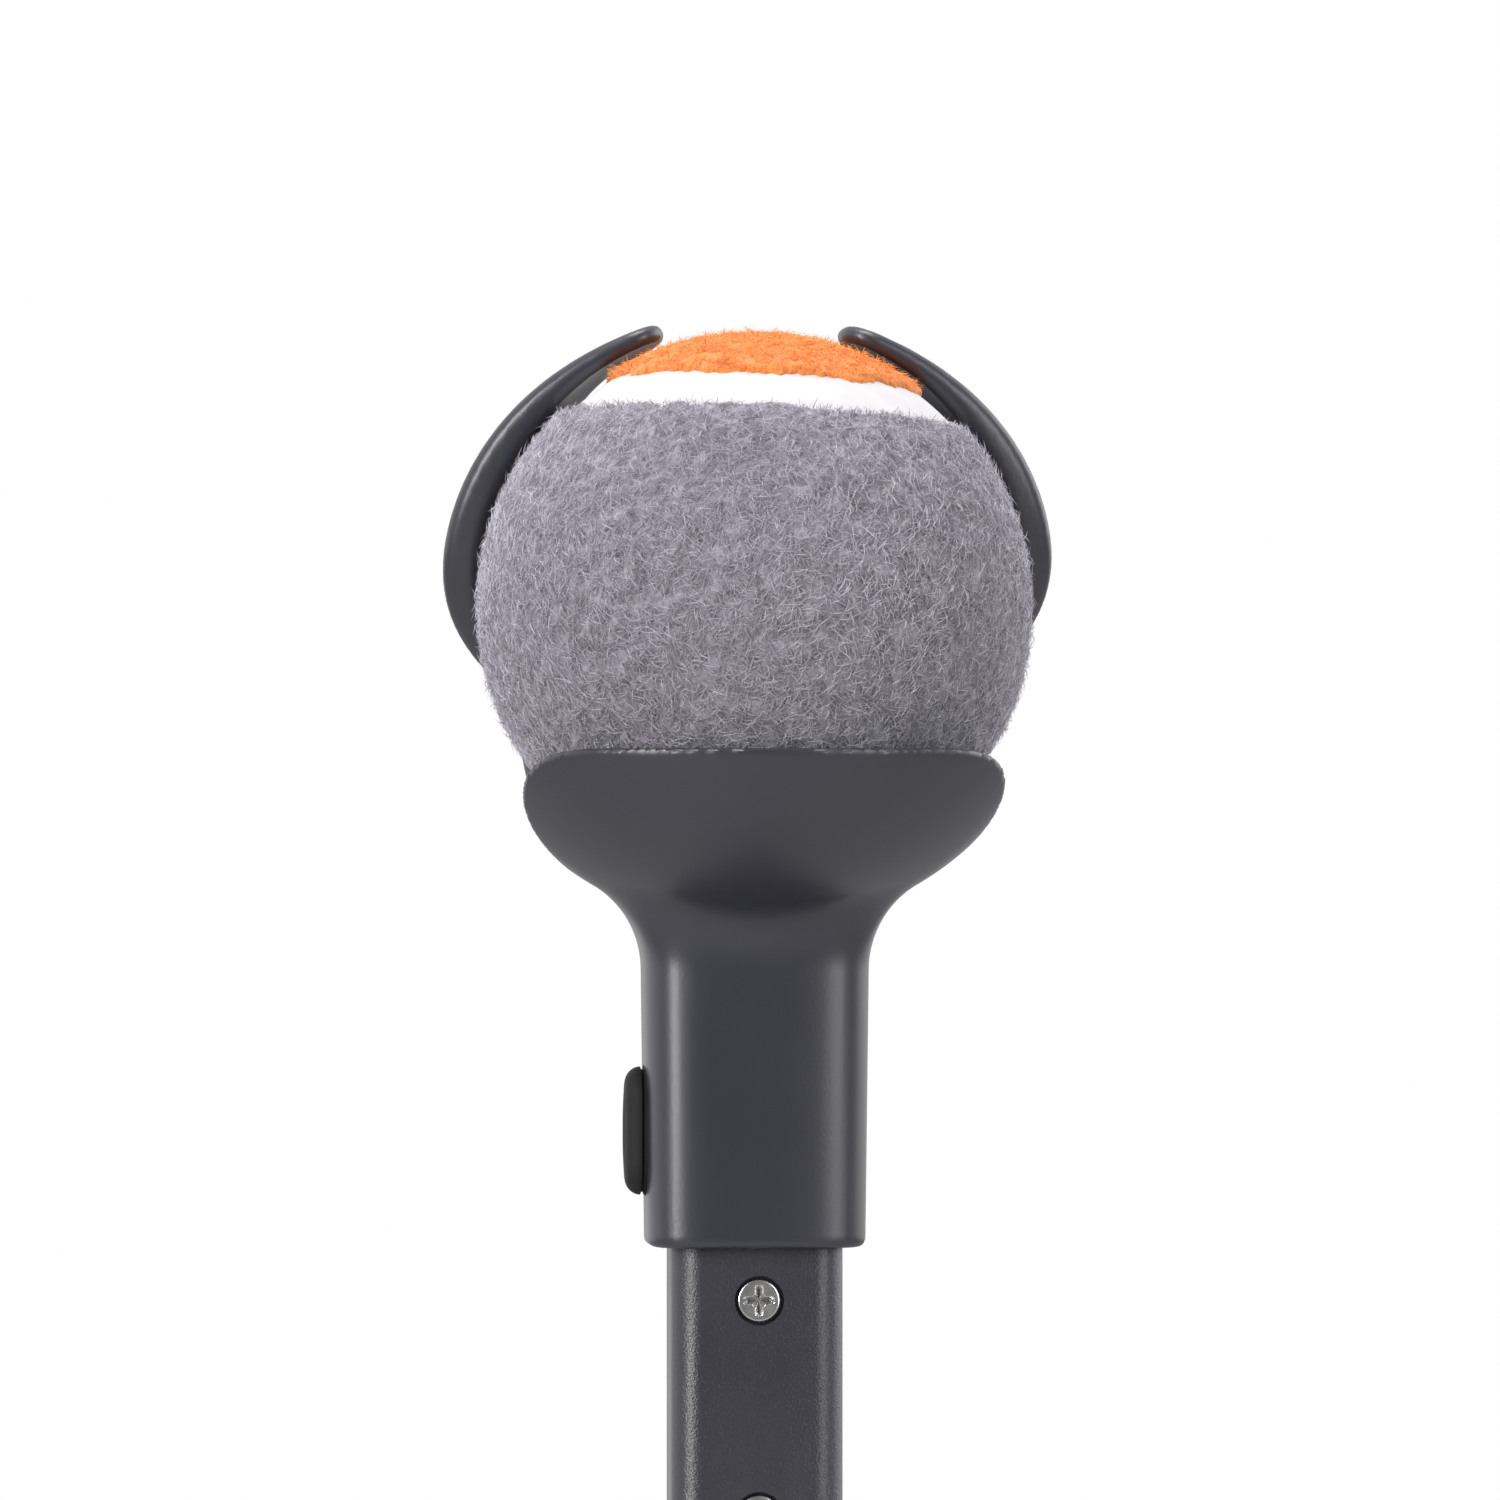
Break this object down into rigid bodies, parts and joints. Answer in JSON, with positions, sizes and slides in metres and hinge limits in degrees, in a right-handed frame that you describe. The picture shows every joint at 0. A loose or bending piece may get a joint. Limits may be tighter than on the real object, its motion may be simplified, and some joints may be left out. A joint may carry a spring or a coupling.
{
  "type": "telescopic dog ball launcher",
  "caption": "Telescopic ball launcher for dogs: a moulded claw head with a release button holds a felt ball on a tube that slides into a gripped handle with a length lock.",
  "frame": {"origin": "middle of the hand grip, on the shaft's axis", "axes": "+Z along the shaft towards the head, -Y to the front, where the cup's lip and the screws are, -X to the button"},
  "size_m": [0.0704, 0.0658, 0.6347],
  "materials": {
    "head_plastic": "satin moulded",
    "button_plastic": "satin moulded",
    "inner_plastic": "moulded",
    "shaft_coat": "fine-texture powder coat",
    "screw_steel": "nickel plated",
    "spring_steel": "bright rolled",
    "grip_rubber": "matte",
    "ball_rubber": "moulded",
    "felt_grey": "woolly felt",
    "felt_orange": "woolly felt",
    "band_white": "smooth"
  },
  "bodies": {
    "handle": {"handle_tube": "shaft_coat", "guide_bush": "inner_plastic", "collar": "head_plastic", "collar_screws": "screw_steel", "lever_pin": "screw_steel", "lock_spring": "spring_steel", "grip": "grip_rubber", "end_cap": "head_plastic", "cap_pin": "screw_steel"},
    "shaft": {"shaft_tube": "shaft_coat", "head_spigot": "inner_plastic", "spigot_screws": "screw_steel", "shaft_foot": "inner_plastic", "foot_pin": "screw_steel", "latch_spring": "spring_steel"},
    "head": {"launcher_head": "head_plastic"},
    "button": {"head_button": "button_plastic"},
    "lever": {"length_lever": "button_plastic"},
    "ball": {"ball_core": "ball_rubber", "ball_felt_grey": "felt_grey", "ball_seam": "band_white", "ball_felt_orange": "felt_orange"}
  },
  "joints": [
    {"name": "telescope", "type": "slide", "parent": "handle", "child": "shaft", "axis": [0, 0, 1], "range_m": [-0.21, 0]},
    {"name": "head_release", "type": "slide", "parent": "shaft", "child": "head", "axis": [0, 0, 1], "range_m": [0, 0.036], "deforming": ["latch_spring"]},
    {"name": "head_button_press", "type": "slide", "parent": "head", "child": "button", "axis": [1, 0, 0], "range_m": [0, 0.0021], "stiffness_N_per_m": 1200, "springref_m": -0.001, "deforming": ["latch_spring"]},
    {"name": "ball_eject", "type": "slide", "parent": "head", "child": "ball", "axis": [0, -0.8549, 0.5188], "range_m": [0, 0.08], "deforming": ["ball_felt_grey", "ball_seam", "ball_felt_orange"]},
    {"name": "length_lever_press", "type": "hinge", "parent": "handle", "child": "lever", "pos_m": [0, 0.0155, 0.2], "axis": [-1, 0, 0], "range_deg": [0, 5], "stiffness_Nm_per_rad": 0.6, "springref_deg": -2.86, "deforming": ["lock_spring"]}
  ]
}
